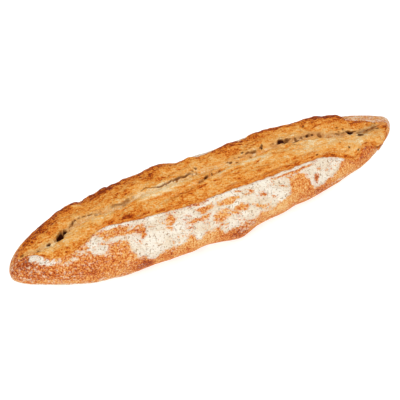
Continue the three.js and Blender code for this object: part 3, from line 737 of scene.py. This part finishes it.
# how much each of these adds, and where it lies
causes = [
    # The darker browning in the valleys between puffs is painted shade.
    (0.05, puffs), (0.1, step(-puffs, 0.5, 1.1)),  # the tops of the puffs, and their valleys
    (0.22, flap**3 * past_tip), (0.09, flap * past_tip),  # the crest of the flap, and all of it
    (0.11, by_edge), (0.08, bump(from_edge - 1.5, 4)),  # the front of the cut, and its very edge
    (0.1, step(from_crease, 2, 12)), (-0.2, valley),  # past the crease, and down in it
    (0.1, tone), (0.06, mottle)]  # chance, broad and narrow
# Browning of the torn dough, with the painted shade of furrows and of the valleys between puffs.
torn_bake_and_shade = TORN_BASE + fold_bake_and_shade + soft_spots(TORN_TONES)
torn_bake_and_shade += sum(amount * where for amount, where in causes)
skin_bake = SKIN_BASE + soft_spots(SKIN_TONES) + 0.12 * tone + 0.1 * mottle + 0.12 * lip
bake = np.clip(mix(skin_bake, torn_bake_and_shade, torn), 0, 1)
crumb = curve(CRUMB, station) * torn * bump(angle - crease_here - CRUMB_PLACE, CRUMB_WIDTH)
crumb = np.clip(crumb * (1 + 0.5 * mottle), 0, 1)
print(f"browning is {bake.mean():.2f} on average")

# %% The mesh and its attributes
loaf_data = bpy.data.meshes.new("baguette_loaf")
loaf_mesh.to_mesh(loaf_data)
loaf_mesh.free()
# The dark of holes and cracks is stored as painted shade, for the material to read.
stored = {"torn": torn, "bake": bake, "flour": flour, "crumb": crumb, "hollow": hollow}
for name, values in stored.items():
    layer = loaf_data.attributes.new(name, "FLOAT", "POINT")
    layer.data.foreach_set("value", values.astype(np.float32))
    print(f"{name}: {values.min():.2f} to {values.max():.2f}")

loaf = bpy.data.objects.new("baguette_loaf", loaf_data)
bpy.context.collection.objects.link(loaf)

# %% [markdown]
# ## Shader maths in plain Python
# A material is a graph of nodes, and sums in a graph are hard to read. So one small class wraps a
# socket and lets Python's own operators add the Math nodes, and one method makes every other node.

# %% Wires and finishes
NOISE_MIDDLE, NOISE_SPREAD = 0.5, 3.5  # these take a noise texture's value to about -1 to 1


class Wire:
    """A number or a colour that varies over the surface. Sums on numbers add Math nodes."""

    def __init__(self, finish, socket):
        self.finish, self.socket = finish, socket

    def maths(self, operation, *values):
        return self.finish.node("ShaderNodeMath", {"operation": operation}, dict(enumerate(values)))

    def __add__(self, other):
        return self.maths("ADD", self, other)

    def __sub__(self, other):
        return self.maths("SUBTRACT", self, other)

    def __rsub__(self, other):
        return self.maths("SUBTRACT", other, self)

    def __mul__(self, other):
        return self.maths("MULTIPLY", self, other)

    def between(self, start, end):
        """0 up to start and 1 from end on, with a soft turn."""
        sockets = {"Value": self, "From Min": start, "From Max": end}
        return self.finish.node("ShaderNodeMapRange", {"interpolation_type": "SMOOTHSTEP"}, sockets)

    __radd__, __rmul__ = __add__, __mul__


class Finish:
    """A material in the making."""

    def __init__(self, name):
        self.material = bpy.data.materials.new(name)
        self.material.use_nodes = True
        self.tree = self.material.node_tree
        self.shader = self.tree.nodes["Principled BSDF"]

    def node(self, kind, settings, sockets, out=0):
        """A node of any kind: its settings first, then a value or a wire for each socket."""
        made = self.tree.nodes.new(kind)
        for name, value in settings.items():
            if name == "stops":
                ramp = made.color_ramp.elements
                while len(ramp) < len(value):
                    ramp.new(0.5)
                for element, (position, colour) in zip(ramp, value):
                    element.position, element.color = position, colour
            else:
                setattr(made, name, value)
        for name, value in sockets.items():
            self.plug(made.inputs[name], value)
        return Wire(self, made.outputs[out])

    def plug(self, socket, value):
        if isinstance(value, Wire):
            self.tree.links.new(value.socket, socket)
        else:
            socket.default_value = value

    def attribute(self, name):
        return self.node("ShaderNodeAttribute", {"attribute_name": name}, {}, out="Fac")

    def grain(self, size, stretch=1.0, detail=2.0, tilt=0.0):
        """Noise from about -1 to 1 with grains of a size in millimetres, drawn out along the loaf."""
        place = self.node("ShaderNodeTexCoord", {}, {}, out="Object")
        turned = {"Vector": place, "Rotation": (0, tilt, -tilt), "Scale": (stretch, 1, 1)}
        placed = self.node("ShaderNodeMapping", {"vector_type": "TEXTURE"}, turned)
        sockets = {"Vector": placed, "Scale": 1 / (size * MM), "Detail": detail}
        return (self.node("ShaderNodeTexNoise", {}, sockets) - NOISE_MIDDLE) * NOISE_SPREAD

    def blend(self, below, above, share):
        """One colour laid over another. The sockets go by number, since several share a name."""
        sockets = {0: share, 6: below, 7: above}
        return self.node("ShaderNodeMix", {"data_type": "RGBA"}, sockets, out=2)

    def ramp(self, value, stops):
        return self.node("ShaderNodeValToRGB", {"stops": stops}, {"Fac": value}, out="Color")

    def finish_with(self, **sockets):
        for name, value in sockets.items():
            self.plug(self.shader.inputs[name.replace("_", " ")], value)
        return self.material


def tint(red, green, blue):
    """A colour given by its screen values, 0 to 255, as the linear colour that a shader takes."""
    def linear(value):
        share = value / 255
        return share / 12.92 if share <= 0.04045 else ((share + 0.055) / 1.055) ** 2.4
    return (*(linear(value) for value in (red, green, blue)), 1)


print("golden crust in linear colour:", [round(value, 3) for value in tint(231, 157, 76)])

# %% [markdown]
# ## The crust
# Crust browns along a fixed path of colours: cream, straw, gold and chestnut, up to a dark red-brown
# where it burns. A colour ramp holds that path, and the browning that was stored on the mesh, with
# the painted shade of furrows and valleys in it, roughened by fine grain, picks the colour. The
# skin's path is slightly redder than the torn dough's.

# %% Crust material
crust = Finish("baguette_crust")
# The browning read here carries painted shade in furrows and between puffs.
torn_wire, bake_and_shade_wire = crust.attribute("torn"), crust.attribute("bake")
# The third attribute read here is the painted shade of holes and cracks.
flour_wire, crumb_wire, painted_hole_shade_wire = (crust.attribute(name) for name in ("flour", "crumb", "hollow"))

speck = crust.grain(size=1.3, detail=1)
mottling = crust.grain(size=4.5, stretch=1.3, detail=2)
streak = crust.grain(size=2.8, stretch=4, detail=2, tilt=0.16)
fibre = crust.grain(size=1.2, stretch=4, detail=1, tilt=0.16)
# Specks roughen all of the browning. On torn dough streaks and fibres take over from them in part.
browned_and_shaded = bake_and_shade_wire + speck * 0.54 + mottling * 0.12
browned_and_shaded = browned_and_shaded + (streak * 0.18 + fibre * 0.24 - speck * 0.3) * torn_wire

# browning and colour of the torn dough
TORN_PATH = [
    (0.0, tint(238, 212, 166)), (0.15, tint(233, 193, 136)), (0.28, tint(234, 180, 108)),
    (0.42, tint(231, 168, 88)), (0.55, tint(226, 149, 62)), (0.7, tint(214, 123, 36)),
    (0.83, tint(194, 95, 20)), (0.93, tint(160, 66, 12)), (1.0, tint(128, 48, 8)),
]
# the same for the skin
SKIN_PATH = [
    (0.0, tint(240, 196, 134)), (0.28, tint(230, 164, 88)), (0.5, tint(217, 130, 60)),
    (0.74, tint(196, 96, 38)), (1.0, tint(142, 56, 20)),
]
DULL_CRUMB = tint(206, 158, 102)
colour = crust.blend(crust.ramp(browned_and_shaded, SKIN_PATH), crust.ramp(browned_and_shaded, TORN_PATH), torn_wire)
pale = (crumb_wire + streak * 0.3 + speck * 0.3).between(0.15, 0.95) * crumb_wire.between(0, 0.3)
colour = crust.blend(colour, DULL_CRUMB, pale * 0.68)
print("crust ramps:", len(TORN_PATH), "and", len(SKIN_PATH), "stops")

# %% [markdown]
# ## Flour and holes on top of it
# Flour covers in grains: where it is thick only thin cracks show the crust, and where it is thin
# only grains are left. One threshold on fine noise gives both, with the stored amount moving the
# threshold. Holes and cracks end the colour in a deep brown of painted shade.

# %% Flour and holes
FLOUR_WHITE, FLOUR_CREAM = tint(246, 242, 227), tint(230, 215, 187)
# The grey-brown pit colour is painted shade in the fine pits and cracks of the flour.
FLOUR_STROKE, FLOUR_PIT_SHADE, FLOUR_THIN = tint(212, 176, 134), tint(164, 134, 102), tint(245, 214, 180)
# The two hole colours are painted shade: brown for the rims, nearly black for the bottoms.
HOLE_RIM_SHADE, HOLE_BOTTOM_SHADE = tint(128, 76, 30), tint(52, 12, 0)
grains = crust.grain(size=1.8, detail=2)
clumps = crust.grain(size=5, detail=2)
strokes = crust.grain(size=1.7, stretch=4, detail=2, tilt=0.3)
# Specks of painted shade, for fine pits and cracks in the flour coat.
pit_shade = grains.between(0.2, 0.7)
cover = flour_wire - 0.5 + grains * 0.44 + strokes * 0.34 + clumps * 0.22
covered = cover.between(-0.26, 0.32) * flour_wire.between(0.03, 0.15)
veil = crust.grain(size=9, stretch=1.6, detail=2).between(-0.5, 0.9)
powder = crust.blend(FLOUR_WHITE, FLOUR_CREAM, veil * 0.8)
powder = crust.blend(powder, FLOUR_STROKE, strokes.between(0.1, 0.9) * 0.7)
powder = crust.blend(powder, FLOUR_PIT_SHADE, pit_shade * 0.9)
powder = crust.blend(FLOUR_THIN, powder, flour_wire.between(0.25, 0.7))
colour = crust.blend(colour, powder, covered * 0.9)
# Painted shade of holes and cracks: brown towards their rims and nearly black at their bottoms.
colour = crust.blend(colour, HOLE_RIM_SHADE, painted_hole_shade_wire.between(0.1, 0.65) * 0.85)
colour = crust.blend(colour, HOLE_BOTTOM_SHADE, painted_hole_shade_wire.between(0.6, 1.0))
print("nodes that colour the crust:", len(crust.tree.nodes))

# %% Fine relief, and the finished material
GRAIN_HEIGHT = 1.2  # mm
CRUST_SHINE = 0.08  # next to none, because bread and flour are matt
coarse = crust.grain(size=3.2, detail=3)
bumps = coarse * 0.34 + speck * 0.2 + covered * 0.25
relief_sockets = {"Height": bumps, "Strength": 1.0, "Distance": GRAIN_HEIGHT * MM}
normal = crust.node("ShaderNodeBump", {}, relief_sockets, out="Normal")
roughness = 0.62 + covered * 0.3 - torn_wire * 0.08
crust_material = crust.finish_with(Base_Color=colour, Roughness=roughness, Normal=normal)
crust.shader.inputs["Specular IOR Level"].default_value = CRUST_SHINE

loaf_data.materials.append(crust_material)
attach(loaf, "root")
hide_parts("baguette")
print("nodes in the crust:", len(crust.tree.nodes))

# %% [markdown]
# ## Table, light and camera
# A loaf for a shop page lies on a light table, a plain white top that glows a little, so that its
# shadow stays faint. Over it hang one big soft light on the left and a weaker one on the right.

# %% The table
FLOOR_SIZE = 6.0  # metres from the middle to each side
TABLE_GREY, WHITE = (0.6, 0.6, 0.6, 1), (1, 1, 1, 1)
TABLE_GLOW = 0.6
floor_mesh = bmesh.new()
bmesh.ops.create_grid(floor_mesh, x_segments=1, y_segments=1, size=FLOOR_SIZE)
floor_data = bpy.data.meshes.new("floor")
floor_mesh.to_mesh(floor_data)
floor_mesh.free()
floor = bpy.data.objects.new("floor", floor_data)
bpy.context.collection.objects.link(floor)
table_top = Finish("plain_white")
table_top.shader.inputs["Emission Strength"].default_value = TABLE_GLOW
floor_data.materials.append(table_top.finish_with(
    Base_Color=TABLE_GREY, Roughness=0.9, Emission_Color=WHITE))

# %% Lights
SURROUND = 0.47  # strength of the even light from all round


def soft_light(name, place, size, power, aim=(0, 0, 0.03)):
    """A square lamp of a size in metres and a power in watts, turned to the loaf."""
    light = bpy.data.lights.new(name, "AREA")
    light.size, light.energy = size, power
    lamp = bpy.data.objects.new(name, light)
    bpy.context.collection.objects.link(lamp)
    lamp.location = place
    lamp.rotation_euler = (Vector(aim) - Vector(place)).to_track_quat("-Z", "Y").to_euler()


world = bpy.data.worlds.new("surround")
world.use_nodes = True
background = world.node_tree.nodes["Background"].inputs
background["Color"].default_value = WHITE
background["Strength"].default_value = SURROUND
bpy.context.scene.world = world
soft_light("key", place=(-1.5, -1.3, 2.2), size=1.4, power=43)
soft_light("fill", place=(1.7, -0.4, 2.2), size=1.8, power=27)
bpy.context.scene.view_settings.view_transform = "Standard"
print("lights:", [light.name for light in bpy.data.lights])

# %% Camera
AIM = Vector((-17.5, -3.4, 28)) * MM  # the point in the middle of the picture
ELEVATION, TURN = math.radians(45), math.radians(30.3)
DISTANCE = 1.1  # metres
LENS, SENSOR = 116.3, 36  # mm
looking = Vector((
    math.sin(TURN) * math.cos(ELEVATION), math.cos(TURN) * math.cos(ELEVATION), -math.sin(ELEVATION)))
camera_data = bpy.data.cameras.new("camera")
camera_data.sensor_width, camera_data.lens = SENSOR, LENS
camera = bpy.data.objects.new("camera", camera_data)
bpy.context.collection.objects.link(camera)
camera.location = AIM - looking * DISTANCE
camera.rotation_euler = looking.to_track_quat("-Z", "Y").to_euler()
bpy.context.scene.camera = camera
print("camera at", [round(value, 3) for value in camera.location])
